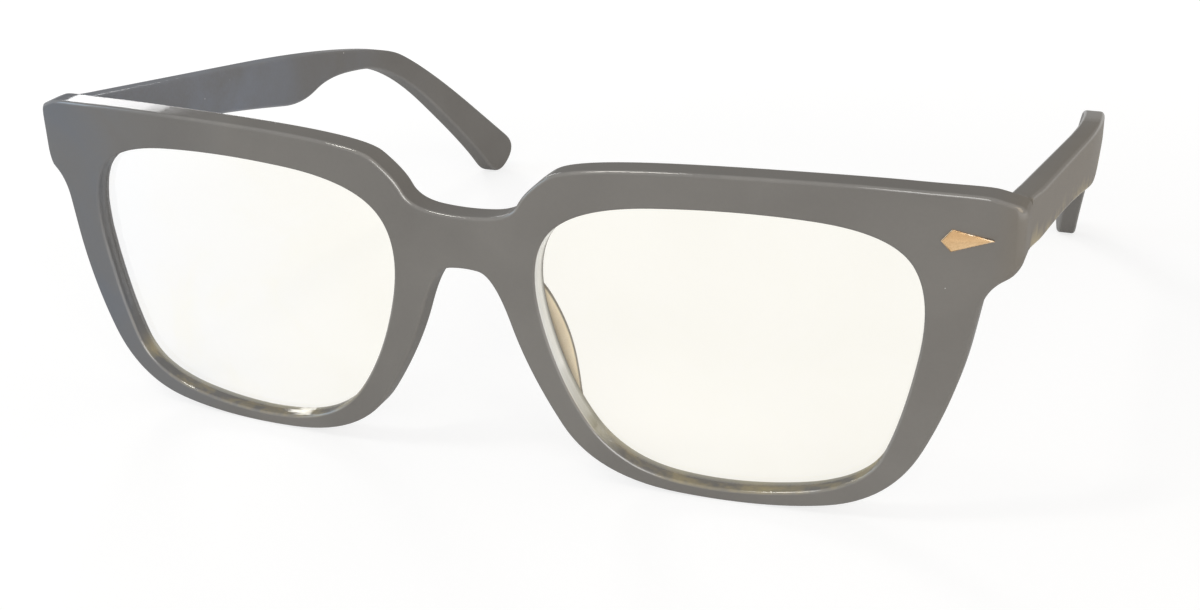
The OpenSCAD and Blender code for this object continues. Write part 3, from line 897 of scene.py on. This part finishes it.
def makeAcetate():
    look = acetateLook
    mat, tree, inputs, at = newMaterial("grey_acetate", IOR=1.49, Specular_IOR_Level=0.0,
                                        Coat_IOR=2.0, Coat_Roughness=0.06)
    tone = effect(tree, "tonalDrift", at, Size=26.0, Dark=look["dark"], Light=look["light"],
                  Grain_Size=0.5, Grain=0.12)
    marks = effect(tree, "handlingMarks", at, Scratch_Size=7.0, Scratch_Amount=0.25,
                   Smudge_Size=14.0, Smudge_Amount=0.6)
    wear = effect(tree, "edgePatches", at, Edge=mask(tree, "edge"), Size=12.0, Amount=0.4)["Patches"]
    specks = effect(tree, "dustSpecks", at, Spacing=3.0, Amount=0.7)["Specks"]
    paintedAmber = effect(tree, "edgePatches", at, Edge=mask(tree, "low"), Size=7.0, Amount=1.0)["Patches"]
    x, y = axisOf(tree, at, "X"), axisOf(tree, at, "Y")
    # Painted light: a cool tint over the left side, as under a cool lamp, lighter and bluer on the
    # inner face there.
    left = times(tree, remap(tree, x, *look["coolX"]),
                 remap(tree, tone["Drift"], 0.2, 0.8, 0.35, 1.0))
    left = times(tree, left, remap(tree, y, *look["coolY"], 1.0, 0.1))
    color = mixColor(tree, left, tone["Color"], look["paintedCool"])
    inner = times(tree, remap(tree, y, *look["insideIn"]),
                  remap(tree, y, *look["insideOut"], 0.9, 0.0))
    color = mixColor(tree, times(tree, left, inner), color, look["paintedCoolInside"])
    # Painted light: a warm tint over the right endpiece and temple, as under a warm lamp.
    color = mixColor(tree, remap(tree, x, *look["warmX"], 0.0, 0.7), color, look["paintedWarm"])
    # Lighter rubbed edges, part wear and part painted highlight, as the edge mask is strongest
    # where the edges look up.
    color = mixColor(tree, wear, color, look["wornAndHighlit"])
    # Painted light: warm amber patches on the walls of the openings that look up and on the right
    # temple's lower edge.
    color = mixColor(tree, paintedAmber, color, look["paintedAmber"])
    rear = times(tree, mask(tree, "rear"), look["creamShare"])
    color = mixColor(tree, rear, color, look["cream"])
    # Painted highlight: the walls towards the nose painted near white, and a darker warm tone where
    # they look up.
    glow = mixColor(tree, mask(tree, "low"), look["glow"], look["glowLow"])
    color = mixColor(tree, mask(tree, "glow"), color, glow)
    color = mixColor(tree, specks, color, look["dust"])
    tree.links.new(color, inputs["Base Color"])
    rough = summed(tree, look["rough"], (marks["Smudges"], 0.08), (marks["Scratches"], 0.2),
                   (wear, 0.1))
    tree.links.new(rough, inputs["Roughness"])
    shine = calc(tree, "MAXIMUM", mask(tree, "edge"), mask(tree, "glow"))
    tree.links.new(summed(tree, look["gloss"], (shine, 1 - look["gloss"])), inputs["Coat Weight"])
    height = summed(tree, tone["Drift"], (marks["Scratches"], -0.4))
    setBump(tree, inputs, height, 0.15, 0.00003)
    return mat


lensLook = {"clean": (0.992, 0.976, 0.915), "smudged": (0.978, 0.962, 0.895),
            "paintedCoolLens": (0.975, 0.98, 0.985), "bluishX": (-0.015, -0.055),
            "dust": (0.8, 0.79, 0.75)}


def makeLensGlass():
    mat, tree, inputs, at = newMaterial("clear_lens", IOR=1.5, Transmission_Weight=1.0)
    marks = effect(tree, "handlingMarks", at, Scratch_Size=9.0, Scratch_Amount=0.35,
                   Smudge_Size=16.0, Smudge_Amount=1.0)
    specks = effect(tree, "dustSpecks", at, Spacing=5.0, Amount=0.4)["Specks"]
    # Painted light: the lens is tinted bluish towards the left, as under a cool lamp on that side.
    left = remap(tree, axisOf(tree, at, "X"), *lensLook["bluishX"])
    color = mixColor(tree, left, lensLook["clean"], lensLook["paintedCoolLens"])
    color = mixColor(tree, marks["Smudges"], color, lensLook["smudged"])
    tree.links.new(mixColor(tree, specks, color, lensLook["dust"]), inputs["Base Color"])
    rough = summed(tree, 0.0, (marks["Smudges"], 0.03), (marks["Scratches"], 0.08))
    tree.links.new(rough, inputs["Roughness"])
    return mat


padLook = {"dark": (0.88, 0.75, 0.55), "light": (0.97, 0.86, 0.66),
           "root": (0.2, 0.155, 0.095), "rootShare": 0.75,
           "crest": (0.09, 0.068, 0.042), "crestShare": 0.9}


def makePadSoft():
    look = padLook
    mat, tree, inputs, at = newMaterial("pad_beige", IOR=1.45, Subsurface_Weight=0.2,
                                        Subsurface_Scale=0.0008)
    inputs["Subsurface Radius"].default_value = (1, 0.7, 0.45)
    tone = effect(tree, "tonalDrift", at, Size=5.0, Dark=look["dark"], Light=look["light"],
                  Grain_Size=0.25, Grain=0.2)
    marks = effect(tree, "handlingMarks", at, Scratch_Size=3.0, Scratch_Amount=0.4,
                   Smudge_Size=4.0, Smudge_Amount=0.6)
    color = tone["Color"]
    # The root is in the rim's shade, and the dark line along the free edge is painted shade.
    for part in ("root", "crest"):
        share = times(tree, mask(tree, part), look[part + "Share"])
        color = mixColor(tree, share, color, look[part])
    tree.links.new(color, inputs["Base Color"])
    rough = summed(tree, 0.3, (marks["Smudges"], 0.15), (marks["Scratches"], 0.2))
    tree.links.new(rough, inputs["Roughness"])
    setBump(tree, inputs, tone["Drift"], 0.2, 0.00005)
    return mat


# Painted shade darkens the upper facets: its range is a height from the rivet's middle.
goldLook = {"dark": (0.64, 0.42, 0.22), "light": (0.76, 0.53, 0.3), "pale": (0.9, 0.78, 0.62),
            "paintedShade": (0.5, 0.3, 0.14), "shadeZ": (-0.0004, 0.0006), "shadeShare": 0.6}


def makeGold():
    look = goldLook
    mat, tree, inputs, at = newMaterial("pale_gold", Metallic=1.0)
    tone = effect(tree, "tonalDrift", at, Size=2.5, Dark=look["dark"], Light=look["light"],
                  Grain_Size=0.2, Grain=0.8)
    lines = effect(tree, "brushLines", at, Size=0.12)["Lines"]
    marks = effect(tree, "handlingMarks", at, Scratch_Size=1.5, Scratch_Amount=0.6,
                   Smudge_Size=3.0, Smudge_Amount=0.5)
    wear = effect(tree, "edgePatches", at, Edge=mask(tree, "edge"), Size=1.2, Amount=0.9)["Patches"]
    low, high = ((toWorld @ rivetAt).z + offset for offset in look["shadeZ"])
    upper = remap(tree, axisOf(tree, at, "Z"), low, high, 0.0, look["shadeShare"])
    color = mixColor(tree, upper, tone["Color"], look["paintedShade"])
    tree.links.new(mixColor(tree, wear, color, look["pale"]), inputs["Base Color"])
    rough = summed(tree, 0.16, (lines, 0.1), (marks["Smudges"], 0.12), (marks["Scratches"], 0.2))
    tree.links.new(rough, inputs["Roughness"])
    setBump(tree, inputs, summed(tree, lines, (marks["Scratches"], -0.8)), 0.2, 0.00001)
    return mat


steelLook = {"dark": (0.5, 0.5, 0.51), "light": (0.66, 0.66, 0.66)}


def makeSteel():
    mat, tree, inputs, at = newMaterial("satin_steel", Metallic=1.0)
    tone = effect(tree, "tonalDrift", at, Size=3.0, Dark=steelLook["dark"],
                  Light=steelLook["light"], Grain_Size=0.15, Grain=0.3)
    lines = effect(tree, "brushLines", at, Size=0.15)["Lines"]
    marks = effect(tree, "handlingMarks", at, Scratch_Size=1.5, Scratch_Amount=0.7,
                   Smudge_Size=3.0, Smudge_Amount=0.5)
    tree.links.new(tone["Color"], inputs["Base Color"])
    rough = summed(tree, 0.24, (lines, 0.14), (marks["Smudges"], 0.12), (marks["Scratches"], 0.2))
    tree.links.new(rough, inputs["Roughness"])
    setBump(tree, inputs, summed(tree, lines, (marks["Scratches"], -0.8)), 0.25, 0.00001)
    return mat


# lift is the floor's own light at near metres from the middle, and farLift that at far metres
stageLook = {"paper": (0.9, 0.9, 0.9), "seen": (0.35, 0.347, 0.345), "lift": 0.738,
             "farLift": 0.92, "near": 0.12, "far": 0.7, "room": 0.38, "roomSeen": 0.6}


def backdropRays(tree):
    # what the camera sees, straight, in a gloss or through a lens
    rays = addNode(tree, "LightPath").outputs
    seen = calc(tree, "ADD", rays["Is Camera Ray"], rays["Is Glossy Ray"], clamp=True)
    return calc(tree, "ADD", seen, rays["Is Transmission Ray"], clamp=True)


def makePaper():
    # white to the eye and pale to the light, so that the object's shadow stays on it
    look = stageLook
    mat, tree, inputs, at = newMaterial("floor_paper", Roughness=0.9, Specular_IOR_Level=0.2,
                                        Emission_Strength=1.0)
    seen = backdropRays(tree)
    tree.links.new(mixColor(tree, seen, look["paper"], look["seen"]), inputs["Base Color"])
    away = addNode(tree, "VectorMath", operation="LENGTH")
    tree.links.new(at, away.inputs[0])
    lift = remap(tree, away.outputs["Value"], look["near"], look["far"],
                 look["lift"], look["farLift"])
    tree.links.new(times(tree, lift, seen), inputs["Emission Color"])
    return mat


acetate, clear, beige = makeAcetate(), makeLensGlass(), makePadSoft()
gold, steel, paper = makeGold(), makeSteel(), makePaper()
finishes = (([frontPiece] + temples, acetate), (lenses, clear), (pads, beige),
            ([rivetPiece], gold), (metalPieces, steel), ([floor], paper))
for pieces, mat in finishes:
    for piece in pieces:
        piece.data.materials.append(mat)
for end in ("left", "right"):
    for place in frame["nodes"]["core_strip_" + end].material_slots:
        place.material = steel
# The lenses are clear, so they throw no shadow
for piece in lenses:
    piece.visible_shadow = False
    piece.visible_diffuse = False

world = bpy.data.worlds.new("studio")
bpy.context.scene.world = world
world.use_nodes = True
sky = world.node_tree
background = sky.nodes["Background"]
background.inputs["Color"].default_value = (1, 1, 1, 1)
roomLevel = remap(sky, backdropRays(sky), 0.0, 1.0, stageLook["room"], stageLook["roomSeen"])
sky.links.new(roomLevel, background.inputs["Strength"])
print("materials made")
